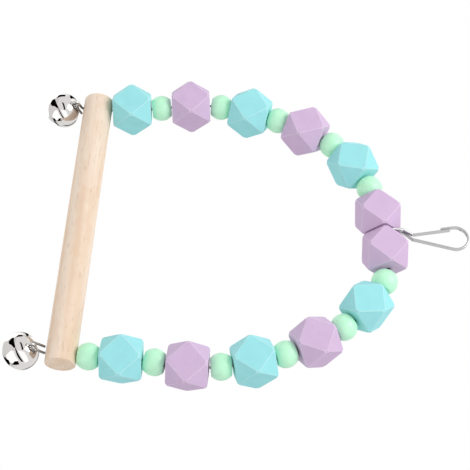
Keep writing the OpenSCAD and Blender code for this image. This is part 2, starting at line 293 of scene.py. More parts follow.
def matte_paint(name, base):
    """Water-based matte paint on faceted wood: flat colour, faint saw lines and paler sanded ridges"""
    made, tree, shader = finish_of(name, base, roughness=0.62, specular=0.3)
    place = add(tree, "ShaderNodeAttribute", attribute_name="bead_place").outputs["Vector"]
    ridge = add(tree, "ShaderNodeAttribute", attribute_name="ridge").outputs["Fac"]
    blotch = add(tree, "ShaderNodeTexNoise", {"Vector": place}, {"Scale": 1 / (5 * MM), "Detail": 3.0})
    # The saw's lines are about 0.35 mm apart, drawn at 0.7 mm so that they show
    saw = add(
        tree, "ShaderNodeTexWave", {"Vector": place},
        {"Scale": wave_scale(0.7 * MM), "Distortion": 1.2, "Detail": 2.0, "Detail Scale": 0.4},
    )
    patch = add(tree, "ShaderNodeTexNoise", {"Vector": place}, {"Scale": 1 / (7 * MM), "Detail": 1.0})
    worn = add(
        tree, "ShaderNodeMapRange", {"Value": patch},
        {"From Min": 0.42, "From Max": 0.62, "To Min": 0.1, "To Max": 1.0},
    )
    lines = add(tree, "ShaderNodeMath", {0: saw.outputs["Fac"], 1: worn}, operation="MULTIPLY")
    thinned = add(tree, "ShaderNodeMath", {0: lines, 2: blotch}, {1: 0.3}, operation="MULTIPLY_ADD")
    mottled = add(
        tree, "ShaderNodeMix", {0: thinned}, {"A": tinted(base, 0.92), "B": tinted(base, 1.05)},
        data_type="RGBA",
    )
    bare_share = 0.22
    paler = [(1 - bare_share) * c + bare_share for c in base]
    sanded = add(
        tree, "ShaderNodeMix", {0: ridge, "A": mottled.outputs["Result"]}, {"B": (*paler, 1)},
        data_type="RGBA",
    )
    grit = add(tree, "ShaderNodeTexNoise", {"Vector": place}, {"Scale": 1 / (0.25 * MM), "Detail": 2.0})
    height = add(tree, "ShaderNodeMath", {0: grit, 2: lines}, {1: 0.35}, operation="MULTIPLY_ADD")
    bump = add(tree, "ShaderNodeBump", {"Height": height}, {"Strength": 0.5, "Distance": 0.03 * MM})
    feed(shader, {"Base Color": sanded.outputs["Result"], "Normal": bump})
    return made


def satin_lacquer(name, base):
    """Satin lacquer on turned wood: one soft highlight and faint turning lines round the bead"""
    made, tree, shader = finish_of(name, base, roughness=0.34)
    place = add(tree, "ShaderNodeAttribute", attribute_name="bead_place").outputs["Vector"]
    blotch = add(tree, "ShaderNodeTexNoise", {"Vector": place}, {"Scale": 1 / (4 * MM), "Detail": 2.0})
    mottled = add(
        tree, "ShaderNodeMix", {0: blotch}, {"A": tinted(base, 0.95), "B": tinted(base, 1.03)},
        data_type="RGBA",
    )
    lines = add(
        tree, "ShaderNodeTexWave", {"Vector": place},
        {"Scale": wave_scale(0.6 * MM), "Distortion": 0.8, "Detail": 1.0},
    ).outputs["Fac"]
    bump = add(tree, "ShaderNodeBump", {"Height": lines}, {"Strength": 0.12, "Distance": 0.02 * MM})
    feed(shader, {"Base Color": mottled.outputs["Result"], "Normal": bump})
    return made


def bare_dowel(name, colours, perch):
    """Sanded unfinished hardwood dowel: long warm streaks, growth rings, fine open pores and ringed ends"""
    made, tree, shader = finish_of(name, colours.wood, roughness=0.58, specular=0.3)
    low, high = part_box("perch")
    middle = (low + high) / 2
    spot = add(tree, "ShaderNodeTexCoord").outputs["Object"]
    # The pith runs beside the dowel's middle and a little aslant, so that the rings run out in long arches
    pith = (-middle.x, -perch.pith_aside, -middle.z + 0.4 * perch.pith_aside)
    slant = (0, math.radians(0.5), math.radians(1.1))
    grown = add(tree, "ShaderNodeMapping", {"Vector": spot}, {"Location": pith, "Rotation": slant})

    def streaks(width, drawn_out, start, full, most):
        """Strength of streaks along the grain: nothing where the noise is below start, most above full"""
        along = add(tree, "ShaderNodeMapping", {"Vector": grown}, {"Scale": (drawn_out, 1, 1)})
        noise = add(tree, "ShaderNodeTexNoise", {"Vector": along}, {"Scale": 1 / width, "Detail": 2.0})
        return add(
            tree, "ShaderNodeMapRange", {"Value": noise},
            {"From Min": start, "From Max": full, "To Max": most},
        )

    rings = add(
        tree, "ShaderNodeTexWave", {"Vector": grown},
        {"Scale": wave_scale(perch.ring_space), "Distortion": 4.2, "Detail": 2.5, "Detail Scale": 0.5},
        wave_type="RINGS",
    )
    late = add(tree, "ShaderNodeMapRange", {"Value": rings.outputs["Fac"]}, {"From Min": 0.55})
    # The rings are strong on the sawn ends and faint along the sides
    x = add(tree, "ShaderNodeSeparateXYZ", {"Vector": spot}).outputs["X"]
    side_reach = (high.x - low.x) / 2 - 0.3 * perch.edge
    side = add(tree, "ShaderNodeMath", {0: x}, {1: middle.x, 2: side_reach}, operation="COMPARE")
    ring_share = add(tree, "ShaderNodeMapRange", {"Value": side}, {"To Min": 0.78, "To Max": 0.33})
    warm = streaks(4.5 * MM, drawn_out=0.035, start=0.38, full=0.68, most=0.8)
    fibre = streaks(0.8 * MM, drawn_out=0.03, start=0.3, full=0.75, most=0.35)
    soft = add(tree, "ShaderNodeMath", {0: warm, 1: fibre}, operation="ADD")
    tone = add(
        tree, "ShaderNodeMath", {0: late, 1: ring_share, 2: soft}, operation="MULTIPLY_ADD", use_clamp=True
    )
    streaked = add(
        tree, "ShaderNodeMix", {0: tone}, {"A": (*colours.wood, 1), "B": (*colours.streak, 1)},
        data_type="RGBA",
    )
    # Pores are about 0.15 mm wide and a few millimetres long, drawn at 0.45 mm so that they show
    pores = streaks(0.45 * MM, drawn_out=0.1, start=0.61, full=0.75, most=0.5)
    grained = add(
        tree, "ShaderNodeMix", {0: pores, "A": streaked.outputs["Result"]}, {"B": (*colours.pore, 1)},
        data_type="RGBA",
    )
    relief = add(tree, "ShaderNodeMath", {0: tone, 1: pores}, operation="SUBTRACT")
    bump = add(tree, "ShaderNodeBump", {"Height": relief}, {"Strength": 0.35, "Distance": 0.05 * MM})
    feed(shader, {"Base Color": grained.outputs["Result"], "Normal": bump})
    return made


def metal(name, base, roughness, spread, grain, relief=0.01 * MM):
    """Metal whose roughness wanders by spread over patches of size grain, with a fine relief"""
    made, tree, shader = finish_of(name, base, roughness, metallic=1)
    spot = add(tree, "ShaderNodeTexCoord").outputs["Object"]
    cloud = add(tree, "ShaderNodeTexNoise", {"Vector": spot}, {"Scale": 1 / grain, "Detail": 3.0})
    dull = add(
        tree, "ShaderNodeMapRange", {"Value": cloud},
        {"From Min": 0.3, "From Max": 0.7, "To Min": roughness - spread, "To Max": roughness + spread},
    )
    bump = add(tree, "ShaderNodeBump", {"Height": cloud}, {"Strength": 0.2, "Distance": relief})
    feed(shader, {"Roughness": dull, "Normal": bump})
    return made


def drawn_steel(colours):
    """Bright drawn steel wire: long soft reflections, slightly dulled by the die"""
    return metal("bright_drawn_steel_wire", colours.steel, roughness=0.26, spread=0.06, grain=0.8 * MM)


def bright_zinc(colours):
    """Bright zinc plate on a rolled steel strip: pale, a little cloudy"""
    return metal("bright_zinc_plated_strip", colours.zinc, roughness=0.24, spread=0.06, grain=1.2 * MM)


def mirror_nickel(colours):
    """Mirror nickel plate on pressed steel sheet: sharp reflections, barely wavy from the press"""
    return metal("mirror_nickel_plate", colours.nickel, roughness=0.035, spread=0.015, grain=6 * MM)


def plain_ball_steel(colours):
    """Tumbled steel ball: grey and half dull"""
    return metal(
        "tumbled_steel_ball", colours.ball, roughness=0.35, spread=0.08, grain=0.7 * MM, relief=0.02 * MM
    )


# Mesh making


def new_piece(name, data, *materials):
    """Object with that data and those materials, linked to the scene"""
    piece = bpy.data.objects.new(name, data)
    bpy.context.scene.collection.objects.link(piece)
    for material in materials:
        data.materials.append(material)
    return piece


def mesh_from(bm, name):
    """Mesh of a bmesh, which is freed"""
    mesh = bpy.data.meshes.new(name)
    bm.to_mesh(mesh)
    bm.free()
    return mesh


def settle(piece):
    """Turns a piece and its modifiers into a plain mesh"""
    depsgraph = bpy.context.evaluated_depsgraph_get()
    mesh = bpy.data.meshes.new_from_object(piece.evaluated_get(depsgraph))
    piece.modifiers.clear()
    piece.data = mesh
    mesh.name = piece.name


def smooth(mesh, sharp_angle=35):
    """Shades a mesh smooth, with its edges above that angle in degrees left sharp"""
    mesh.polygons.foreach_set("use_smooth", [True] * len(mesh.polygons))
    mesh.set_sharp_from_angle(angle=math.radians(sharp_angle))


def arc(centre, radius, start, end, steps):
    """Points of an arc in a plane, with angles in degrees"""
    turns = [math.radians(start + (end - start) * i / steps) for i in range(steps + 1)]
    return [(centre[0] + radius * math.cos(a), centre[1] + radius * math.sin(a)) for a in turns]


def ring_of(bm, x, radius, steps):
    """Vertices of a circle round X, or one vertex where its radius is zero"""
    turns = [2 * math.pi * j / steps for j in range(steps)] if radius > 0 else [0]
    return [bm.verts.new((x, radius * math.cos(a), radius * math.sin(a))) for a in turns]


def skin(bm, rings, closed=False):
    """Faces between rings of equally many vertices or of one, and back to the first ring where closed"""
    count = len(rings)
    for i in range(count if closed else count - 1):
        a, b = rings[i], rings[(i + 1) % count]
        size = max(len(a), len(b))
        for j in range(size):
            corners = [a[j % len(a)], a[(j + 1) % len(a)], b[(j + 1) % len(b)], b[j % len(b)]]
            bm.faces.new([v for k, v in enumerate(corners) if v not in corners[:k]])


def lathe(name, profile, steps, closed):
    """Mesh turned about X from (x, radius) points. A point of radius zero is a pole."""
    bm = bmesh.new()
    skin(bm, [ring_of(bm, x, radius, steps) for x, radius in profile], closed)
    bmesh.ops.recalc_face_normals(bm, faces=bm.faces)
    return mesh_from(bm, name)


def hand_over(piece, body, slot, *nodes):
    """Fixes a finished piece to its body, in place of its nodes"""
    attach(piece, body)
    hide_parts(*nodes)


# Geometry Nodes trees


def new_tree(name, inputs):
    """Geometry Nodes tree with those inputs, as names and kinds, and the sockets that bring them in"""
    tree = bpy.data.node_groups.new(name, "GeometryNodeTree")
    for socket, kind in {"Geometry": "Geometry", **inputs}.items():
        tree.interface.new_socket(socket, in_out="INPUT", socket_type="NodeSocket" + kind)
    tree.interface.new_socket("Geometry", in_out="OUTPUT", socket_type="NodeSocketGeometry")
    return tree, add(tree, "NodeGroupInput").outputs


def end_tree(tree, geometry, material):
    """Ends a tree in real geometry with its material, as the export needs it"""
    real = add(tree, "GeometryNodeRealizeInstances", {"Geometry": geometry})
    covered = add(tree, "GeometryNodeSetMaterial", {"Geometry": real, "Material": material})
    add(tree, "NodeGroupOutput", {"Geometry": covered})
    return tree


def bead_tree():
    """Tree that sets a bead blank on the wire: keeps the blank's own places, turns, moves and paints it"""
    inputs = {"Blank": "Object", "Turn": "Rotation", "Pattern Shift": "Vector", "Paint": "Material"}
    tree, given = new_tree("bead_on_wire", inputs)
    blank = add(tree, "GeometryNodeObjectInfo", {"Object": given["Blank"]}).outputs["Geometry"]
    position = add(tree, "GeometryNodeInputPosition")
    place = add(tree, "ShaderNodeVectorMath", {0: position, 1: given["Pattern Shift"]})
    marked = add(
        tree, "GeometryNodeStoreNamedAttribute", {"Geometry": blank, "Value": place}, {"Name": "bead_place"},
        data_type="FLOAT_VECTOR", domain="POINT",
    )
    placed = add(
        tree, "GeometryNodeInstanceOnPoints",
        {"Points": given["Geometry"], "Instance": marked, "Rotation": given["Turn"]},
    )
    return end_tree(tree, placed, given["Paint"])


def wire_tree():
    """Tree that bends a round wire along the edges of a mesh"""
    inputs = {"Diameter": "Float", "Bend Radius": "Float", "Bend Steps": "Int", "Sides": "Int"}
    tree, given = new_tree("bent_round_wire", {**inputs, "Metal": "Material"})
    line = add(tree, "GeometryNodeMeshToCurve", {"Mesh": given["Geometry"]})
    bent = add(
        tree, "GeometryNodeFilletCurve",
        {"Curve": line, "Radius": given["Bend Radius"], "Count": given["Bend Steps"]},
        {"Limit Radius": True}, mode="POLY",
    )
    radius = add(tree, "ShaderNodeMath", {0: given["Diameter"]}, {1: 0.5}, operation="MULTIPLY")
    section = add(tree, "GeometryNodeCurvePrimitiveCircle", {"Radius": radius, "Resolution": given["Sides"]})
    tube = add(
        tree, "GeometryNodeCurveToMesh", {"Curve": bent, "Profile Curve": section}, {"Fill Caps": True}
    )
    return end_tree(tree, tube, given["Metal"])


def run_tree(piece, tree, values):
    """Runs a tree on a piece with named inputs, and turns the result into a plain mesh"""
    modifier = piece.modifiers.new(tree.name, "NODES")
    modifier.node_group = tree
    for item in tree.interface.items_tree:
        if item.in_out == "INPUT" and item.name in values:
            modifier[item.identifier] = values[item.name]
    settle(piece)


def wire_piece(name, points, diameter, bend, metal_finish):
    """Round wire bent along points"""
    tree = bpy.data.node_groups.get("bent_round_wire") or wire_tree()
    mesh = bpy.data.meshes.new(name)
    mesh.from_pydata([tuple(p) for p in points], [(i, i + 1) for i in range(len(points) - 1)], [])
    piece = new_piece(name, mesh)
    values = {"Diameter": diameter, "Bend Radius": bend, "Bend Steps": 8, "Sides": 20, "Metal": metal_finish}
    run_tree(piece, tree, values)
    smooth(piece.data)
    return piece


# The beads


def faceted_blank(beads):
    """Cuboctahedron bored through two square faces, with blunted corners and sanded ridges"""
    half = beads.facet_size / 2
    bm = bmesh.new()
    signs = (-1, 1)
    for a in signs:
        for b in signs:
            for corner in ((a, b, 0), (a, 0, b), (0, a, b)):
                bm.verts.new(Vector(corner) * half)
    corners = [v.co.normalized() for v in bm.verts]
    bmesh.ops.convex_hull(bm, input=bm.verts)
    bmesh.ops.dissolve_limit(bm, angle_limit=math.radians(1), verts=bm.verts, edges=bm.edges)
    for corner in corners:
        everything = [*bm.verts, *bm.edges, *bm.faces]
        cut = bmesh.ops.bisect_plane(
            bm, geom=everything, plane_co=corner * beads.corner_reach, plane_no=corner, clear_outer=True
        )
        rim = [e for e in cut["geom_cut"] if isinstance(e, bmesh.types.BMEdge)]
        bmesh.ops.contextual_create(bm, geom=rim)
    ridge = bm.faces.layers.float.new("ridge")
    worn = bmesh.ops.bevel(
        bm, geom=list(bm.edges), offset=beads.ridge / 2, segments=3, profile=0.5, affect="EDGES",
        clamp_overlap=True,
    )
    for face in worn["faces"]:
        face[ridge] = 1.0
        face.smooth = True
    drill(bm, half, beads)
    bmesh.ops.recalc_face_normals(bm, faces=bm.faces)
    return mesh_from(bm, "faceted_blank")


def drill(bm, half, beads, steps=32):
    """Opens the faces that look along X, and joins them by a bore with a broken edge"""
    walls = []
    near_end = 0.99 * half
    for side in (-1, 1):
        # The square face is the largest of those that lie at this end
        at_end = [f for f in bm.faces if f.calc_center_median().x * side > near_end]
        face = max(at_end, key=lambda f: f.calc_area())
        rim = list(face.edges)
        bmesh.ops.delete(bm, geom=[face], context="FACES_ONLY")
        mouth = ring_of(bm, side * half, beads.bore / 2 + beads.bore_edge, steps)
        throat = ring_of(bm, side * (half - beads.bore_edge), beads.bore / 2, steps)
        edges = [bm.edges.new((mouth[j], mouth[(j + 1) % steps])) for j in range(steps)]
        bmesh.ops.triangle_fill(bm, use_beauty=True, edges=rim + edges, normal=(side, 0, 0))
        walls.append([mouth, throat])
    before = set(bm.faces)
    skin(bm, walls[0] + walls[1][::-1])
    for face in set(bm.faces) - before:
        face.smooth = True


def round_blank(beads):
    """Turned round bead with flat drilled ends"""
    radius, half, edge = beads.round_size / 2, beads.round_length / 2, beads.round_edge
    # The ball's curve meets the edge round, which meets the flat end
    meet = math.degrees(math.acos((half - edge) / (radius - edge)))
    hub = (half - edge, (radius - edge) * math.sin(math.radians(meet)))
    bore = beads.bore / 2
    quarter = [(half - beads.bore_edge, bore), (half, bore + beads.bore_edge)]
    quarter += arc(hub, edge, 0, meet, steps=4)
    ball = arc((0, 0), radius, meet, 180 - meet, steps=36)
    far_side = [(-x, r) for x, r in reversed(quarter)]
    mesh = lathe("round_blank", quarter + ball[1:-1] + far_side, steps=72, closed=True)
    smooth(mesh, sharp_angle=30)
    return mesh


def build_beads(context, faceted):
    """Sets the faceted or the round beads on the wire, each on its own body"""
    beads, colours = context.scene.swing_beads, context.scene.swing_colours
    tree = bpy.data.node_groups.get("bead_on_wire") or bead_tree()
    blank = new_piece("bead_blank", faceted_blank(beads) if faceted else round_blank(beads))
    if faceted:
        paints = {
            "aqua": matte_paint("matte_aqua_paint_on_wood", colours.aqua),
            "lilac": matte_paint("matte_lilac_paint_on_wood", colours.lilac),
        }
    else:
        paints = {"mint": satin_lacquer("satin_mint_lacquer_on_wood", colours.mint)}
    for number, node in enumerate(BEADS):
        shade = node.split("_")[0]
        if shade not in paints:
            continue
        way = axis(node + "_spin")
        heading = math.atan2(way.z, way.x)
        roll = beads.turns[FACETED.index(node)] if faceted else 0
        turn = Matrix.Rotation(-heading, 4, "Y") @ Matrix.Rotation(roll, 4, "X")
        seat = bpy.data.meshes.new(node)
        seat.from_pydata([pivot(node + "_spin")], [], [])
        piece = new_piece("painted_" + node, seat)
        shift = (0, number * PATTERN_STEP, 0)
        values = {"Blank": blank, "Turn": turn.to_euler(), "Pattern Shift": shift, "Paint": paints[shade]}
        run_tree(piece, tree, values)
        hand_over(piece, node, shade + "_paint", node)
    bpy.data.objects.remove(blank)


# The perch


def build_perch(context):
    """Turns the dowel with rounded ends, and drills its cross holes"""
    perch, colours = context.scene.swing_perch, context.scene.swing_colours
    low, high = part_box("perch")
    middle = (low + high) / 2
    half, radius = (high.x - low.x) / 2, (high.z - low.z) / 2
    hole_x = half - perch.hole_inset
    # Rings of vertices stand on both sides of each hole, so that its rim stays clean
    beside = 1.2 * perch.hole
    half_profile = [(half, 0), (half, radius / 2)]
    half_profile += arc((half - perch.edge, radius - perch.edge), perch.edge, 0, 90, steps=5)
    half_profile += [(x, radius) for x in (hole_x + beside, hole_x - beside, hole_x / 2)]
    profile = half_profile + [(0, radius)] + [(-x, r) for x, r in reversed(half_profile)]
    mesh = lathe("perch_dowel", profile, steps=96, closed=False)
    mesh.transform(Matrix.Translation(middle))
    piece = new_piece("grained_perch", mesh, bare_dowel("sanded_bare_hardwood_dowel", colours, perch))
    bm = bmesh.new()
    drill_radius = perch.hole / 2
    for x in (-hole_x, hole_x):
        bmesh.ops.create_cone(
            bm, cap_ends=True, segments=32, radius1=drill_radius, radius2=drill_radius, depth=4 * radius,
            matrix=Matrix.Translation(middle + X_AXIS * x),
        )
    cutter = new_piece("perch_drill", mesh_from(bm, "perch_drill"))
    boolean = piece.modifiers.new("cross_holes", "BOOLEAN")
    boolean.object = cutter
    boolean.operation = "DIFFERENCE"
    boolean.solver = "EXACT"
    settle(piece)
    bpy.data.objects.remove(cutter)
    smooth(piece.data, sharp_angle=25)
    hand_over(piece, "frame", "perch_wood", "perch")


# The wire


def crossing(a, along_a, b, along_b, alike=1e-4):
    """Point where two lines in the XZ plane meet, or the middle between a and b where they run alike"""
    det = along_a.x * along_b.z - along_a.z * along_b.x
    if abs(det) < alike:
        return (a + b) / 2
    gap = b - a
    return a + along_a * ((gap.x * along_b.z - gap.z * along_b.x) / det)


def arch_points(beads):
    """Where the arch bends: over the far hole, between the beads and over the near hole"""
    places = [pivot(node + "_spin") for node in BEADS]
    heads = [axis(node + "_spin") for node in BEADS]
    points = [places[0] - heads[0] * beads.facet_size / 2]
    for i in range(len(BEADS) - 1):
        points.append(crossing(places[i], heads[i], places[i + 1], heads[i + 1]))
    return points + [places[-1] + heads[-1] * beads.round_length / 2]


def loop_points(end, perch, wire, steps=12):
    """Wire of the loop under one end of the perch, from its hole to its cut end"""
    low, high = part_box("perch")
    hole_x = low.x + perch.hole_inset if end == "far" else high.x - perch.hole_inset
    foot = pivot(end + "_bell_swing")
    half_side = X_AXIS * (foot.x - hole_x)
    bend = Vector((hole_x, 0, low.z - wire.thickness / 2 - wire.play))
    lean = foot - half_side - bend
    down = lean.normalized()
    centre = bend + half_side + down * (lean.length - half_side.length)
    half_ring = arc((0, 0), 1, 180, 0, steps)
    ring = [centre + half_side * u + down * half_side.length * v for u, v in half_ring]
    cut_end = bend + 2 * half_side + down * wire.play
    return [bend] + ring + [cut_end]


def build_wire(context):
    """Bends the one wire that runs through both loops, the perch and all beads"""
    scene = context.scene
    perch, wire = scene.swing_perch, scene.swing_wire
    points = loop_points("far", perch, wire)[::-1] + arch_points(scene.swing_beads)
    points += loop_points("near", perch, wire)
    steel = drawn_steel(scene.swing_colours)
    piece = wire_piece("bent_frame_wire", points, wire.thickness, wire.bend, steel)
    hand_over(piece, "frame", "wire_steel", "frame_wire")


# The clip


def evenly(points, step):
    """Points along a line of points, about step apart"""
    result = [points[0]]
    for a, b in zip(points, points[1:]):
        count = max(1, round((b - a).length / step))
        result += [a.lerp(b, (i + 1) / count) for i in range(count)]
    return result


def softened(points, reach):
    """The same line with its bends rounded over reach points on each side"""
    last = len(points) - 1
    result = []
    for i in range(len(points)):
        span = min(reach, i, last - i)
        near = points[i - span : i + span + 1]
        result.append(sum(near, Vector((0, 0, 0))) / len(near))
    return result


def strip_section(thick, width, edge):
    """Outline of the strip: across its thickness and its width, with round long edges"""
    outline = []
    for across, along, start in ((1, 1, 0), (-1, 1, 90), (-1, -1, 180), (1, -1, 270)):
        hub = (across * (thick / 2 - edge), along * (width / 2 - edge))
        outline += arc(hub, edge, start, start + 90, steps=3)
    return outline


def strip_mesh(name, points, first_across, clip, least_view=0.35):
    """Mesh of a flat strip bent along points. Its thin side turns with the line, as seen from the front."""
    outline = strip_section(clip.strip_thick, clip.strip_width, clip.strip_edge)
    bm = bmesh.new()
    rings = []
    across = first_across
    last = len(points) - 1
    for i, point in enumerate(points):
        ahead = (points[min(i + 1, last)] - points[max(i - 1, 0)]).normalized()
        front = Vector((ahead.z, 0, -ahead.x))
        # Where the line runs nearly straight back, the strip keeps the turn that it had
        if front.length > least_view:
            front.normalize()
            across = front if front.dot(across) >= 0 else -front
        wide = ahead.cross(across).normalized()
        thin = wide.cross(ahead).normalized()
        rings.append([bm.verts.new(point + thin * u + wide * v) for u, v in outline])
    skin(bm, rings)
    bm.faces.new(rings[0])
    bm.faces.new(rings[-1])
    bmesh.ops.recalc_face_normals(bm, faces=bm.faces)
    mesh = mesh_from(bm, name)
    smooth(mesh, sharp_angle=40)
    return mesh


def touch(point, centre, radius, side):
    """Angle in degrees round centre at which a line from point touches a circle"""
    dx, dz = point[0] - centre[0], point[1] - centre[1]
    return math.degrees(math.atan2(dz, dx) + side * math.acos(radius / math.hypot(dx, dz)))


def build_clip(context):
    """Bends the clip's strip: the eye round the wire, the pinched neck, the hook and the springy arm"""
    clip = context.scene.swing_clip
    zinc = bright_zinc(context.scene.swing_colours)
    eye, wire_way = pivot("swing"), axis("swing")
    up = Vector((-wire_way.z, 0, wire_way.x))
    foot = pivot("spring_arm_flex")
    arm_neck = foot - Vector((0, 0, clip.foot_rise))
    hook_neck = arm_neck + X_AXIS * clip.neck_width
    bow = (0, -(clip.bow_radius - clip.strip_thick / 2))
    fork = eye + up * clip.fork_height
    neck_rise = arm_neck.z - eye.z
    fork_rise = fork.z - eye.z
    slant = (fork.x - eye.x) / fork_rise

    # Side view of the eye: its round foot, and the height at which a strand leaves it
    eye_middle = clip.eye_radius - clip.eye_drop
    leave = 180 - touch((0, neck_rise), (0, eye_middle), clip.eye_radius, 1)
    foot_arc = arc((0, eye_middle), clip.eye_radius, -90, leave, steps=14)

    def strand(side, neck):
        """Half of the eye, from its lowest point to the neck"""
        lower = [Vector((eye.x + slant * z, side * y, eye.z + z)) for y, z in foot_arc]
        start_y, start_z = foot_arc[-1]
        part = (fork_rise - start_z) / (neck_rise - start_z)
        parting = Vector((fork.x, side * start_y * (1 - part), fork.z))
        return lower + [parting, neck]

    bow_start = touch((hook_neck.x, hook_neck.z), bow, clip.bow_radius, 1)
    inner = clip.bow_radius - clip.strip_thick - clip.latch_gap
    arm_touch = touch((foot.x, foot.z), bow, inner, -1)
    turn = math.radians(arm_touch - 90)
    arm_way = Vector((math.cos(turn), 0, math.sin(turn)))
    bow_arc = arc(bow, clip.bow_radius, bow_start, 360 + arm_touch, steps=48)
    bend = [Vector((x, 0, z)) for x, z in bow_arc]
    tip = bend[-1] - arm_way * clip.tip_length
    step = 0.15 * MM
    reach = round(clip.bend / 2 / step)
    path = strand(-1, arm_neck)[::-1] + strand(1, hook_neck)[1:] + bend + [tip]
    line = softened(softened(evenly(path, step), reach // 2), reach // 2)
    hook = new_piece("bent_clip_hook", strip_mesh("bent_clip_hook", line, X_AXIS, clip), zinc)
    hand_over(hook, "clip", "clip_zinc", "clip_hook")

    # The springy arm bends along its lower half, from the end of the hook's strip
    distance = math.sqrt((foot.x - bow[0]) ** 2 + (foot.z - bow[1]) ** 2 - inner ** 2)
    arm_length = distance - clip.tip_length + clip.arm_lap
    arm_line = evenly([arm_neck, foot, foot + arm_way * arm_length], step)
    mesh = strip_mesh("springy_clip_arm", softened(arm_line, reach // 2), X_AXIS, clip)
    arm = new_piece("springy_clip_arm", mesh, zinc)
    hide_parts("clip_spring_arm")
    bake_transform(arm)


# The bells


def petal_rows(bells):
    """Outer skin of one quarter of a bell's slotted half, as rows from its tip to the rim

    The press leaves flat flanks between the round rim and a flat end.
    """
    tip_rows, hole_rows, rim_rows, steps_across = 24, 20, 16, 24
    past_corner, crowding, hair = 1.02, 1.3, 1e-9
    radius = bells.size / 2
    slot, hole = bells.slot / 2, bells.slot_hole / 2
    reach = bells.slot_reach
    power = -1 / bells.press_corner

    def distance(turn):
        """Distance of the skin from the bell's middle, at that angle from the bottom"""
        flank = bells.flank_share / math.sin(turn + bells.flank_lean)
        blended = (1 + flank ** power + max(0, math.cos(turn)) ** -power) ** (1 / power)
        roll = max(0, 1 - (math.pi / 2 - turn) * radius / bells.rim_roll)
        return radius * blended - bells.rim_roll * (1 - math.sqrt(1 - min(1, roll) ** 2))

    # The first row lies just past the square where the slots cross, and rows crowd towards it
    tip = math.asin(slot * math.sqrt(2) / radius) * past_corner
    dip, rise = math.sqrt(hole ** 2 - slot ** 2) / radius, hole / radius
    turns = [tip + (reach - dip - tip) * (i / tip_rows) ** crowding for i in range(tip_rows + 1)]
    start = math.acos(-dip / rise)
    turns += [reach + rise * math.cos(start * (1 - i / hole_rows)) for i in range(1, hole_rows + 1)]
    rest = math.pi / 2 - reach - rise
    turns += [reach + rise + rest * (1 - (1 - i / rim_rows) ** 2) for i in range(1, rim_rows + 1)]
    rows = []
    for turn in turns:
        offset = (turn - reach) * radius
        if abs(offset) <= hole and turn >= reach - dip - hair:
            aside = math.sqrt(max(0, hole ** 2 - offset ** 2))
        else:
            aside = slot if turn < reach else 0
        far = distance(turn)
        out, down = far * math.sin(turn), far * math.cos(turn)
        edge = min(math.asin(min(1, aside / out)), math.pi / 4)
        row = []
        for j in range(steps_across + 1):
            a = edge + (math.pi / 2 - 2 * edge) * j / steps_across
            row.append(Vector((out * math.cos(a), out * math.sin(a), -down)))
        rows.append(row)
    return rows


def petals_mesh(bells, name):
    """Slotted half of a bell, closed up to its wall's thickness by the caller"""
    bm = bmesh.new()
    rows = petal_rows(bells)
    for quarter in range(4):
        turn = Matrix.Rotation(math.pi / 2 * quarter, 3, "Z")
        grid = [[bm.verts.new(turn @ point) for point in row] for row in rows]
        for a, b in zip(grid, grid[1:]):
            for j in range(len(a) - 1):
                bm.faces.new([a[j], a[j + 1], b[j + 1], b[j]])
    bmesh.ops.remove_doubles(bm, verts=bm.verts, dist=0.002 * MM)
    bmesh.ops.recalc_face_normals(bm, faces=bm.faces)
    outward = sum(f.normal.dot(f.calc_center_median()) for f in bm.faces)
    if outward < 0:
        bmesh.ops.reverse_faces(bm, faces=bm.faces)
    return mesh_from(bm, name)


def build_bells(context):
    """Presses both bells: a domed top, a slotted bottom and a clinched wire shank, each on its bell's body"""
    bells, colours = context.scene.swing_bells, context.scene.swing_colours
    nickel, ball_steel = mirror_nickel(colours), plain_ball_steel(colours)
    radius = bells.size / 2
    inner = radius - bells.wall
    drop = bells.shank_drop + bells.shank_leg + radius
    clinch_play = 0.05 * MM
    for end in ENDS:
        bell = end + "_bell"
        up = axis(end + "_pellet_roll")
        tilt = Matrix.Rotation(math.atan2(-up.y, up.z), 4, "X")
        own = Matrix.Translation(pivot(bell + "_swing")) @ tilt
        centre = own @ Matrix.Translation((0, 0, -drop))

        profile = arc((0, 0), radius, 0, 90, steps=40) + arc((0, 0), inner, 90, 0, steps=40)
        dome = lathe(bell + "_dome", profile, steps=96, closed=False)
        dome.transform(centre @ Matrix.Rotation(-math.pi / 2, 4, "Y"))
        smooth(dome, sharp_angle=40)
        top = new_piece("plated_" + bell + "_top", dome, nickel)
        hand_over(top, bell, "bell_nickel", bell + "_top")

        petals = new_piece("plated_" + bell + "_petals", petals_mesh(bells, bell + "_petals"), nickel)
        wall = petals.modifiers.new("wall", "SOLIDIFY")
        wall.thickness = bells.wall
        wall.offset = -1
        settle(petals)
        petals.data.transform(centre)
        smooth(petals.data, sharp_angle=40)
        hand_over(petals, bell, "bell_nickel", bell + "_petals")

        # The clinched ends lie just under the dome
        clinch_radius = inner - bells.shank_wire / 2 - clinch_play
        eye = arc((0, -bells.shank_drop), bells.shank_radius, 0, 180, steps=16)
        ends = (bells.shank_radius + bells.clinch, bells.shank_radius)
        inside = [(y, math.sqrt(clinch_radius ** 2 - y ** 2) - drop) for y in ends]
        outline = inside + eye + [(-y, z) for y, z in reversed(inside)]
        points = [own @ Vector((0, y, z)) for y, z in outline]
        bend = 0.6 * bells.shank_wire
        shank = wire_piece("bent_" + bell + "_shank", points, bells.shank_wire, bend, nickel)
        hand_over(shank, bell, "bell_nickel", bell + "_shank")

        frame["nodes"][bell + "_pellet"].material_slots[0].material = ball_steel
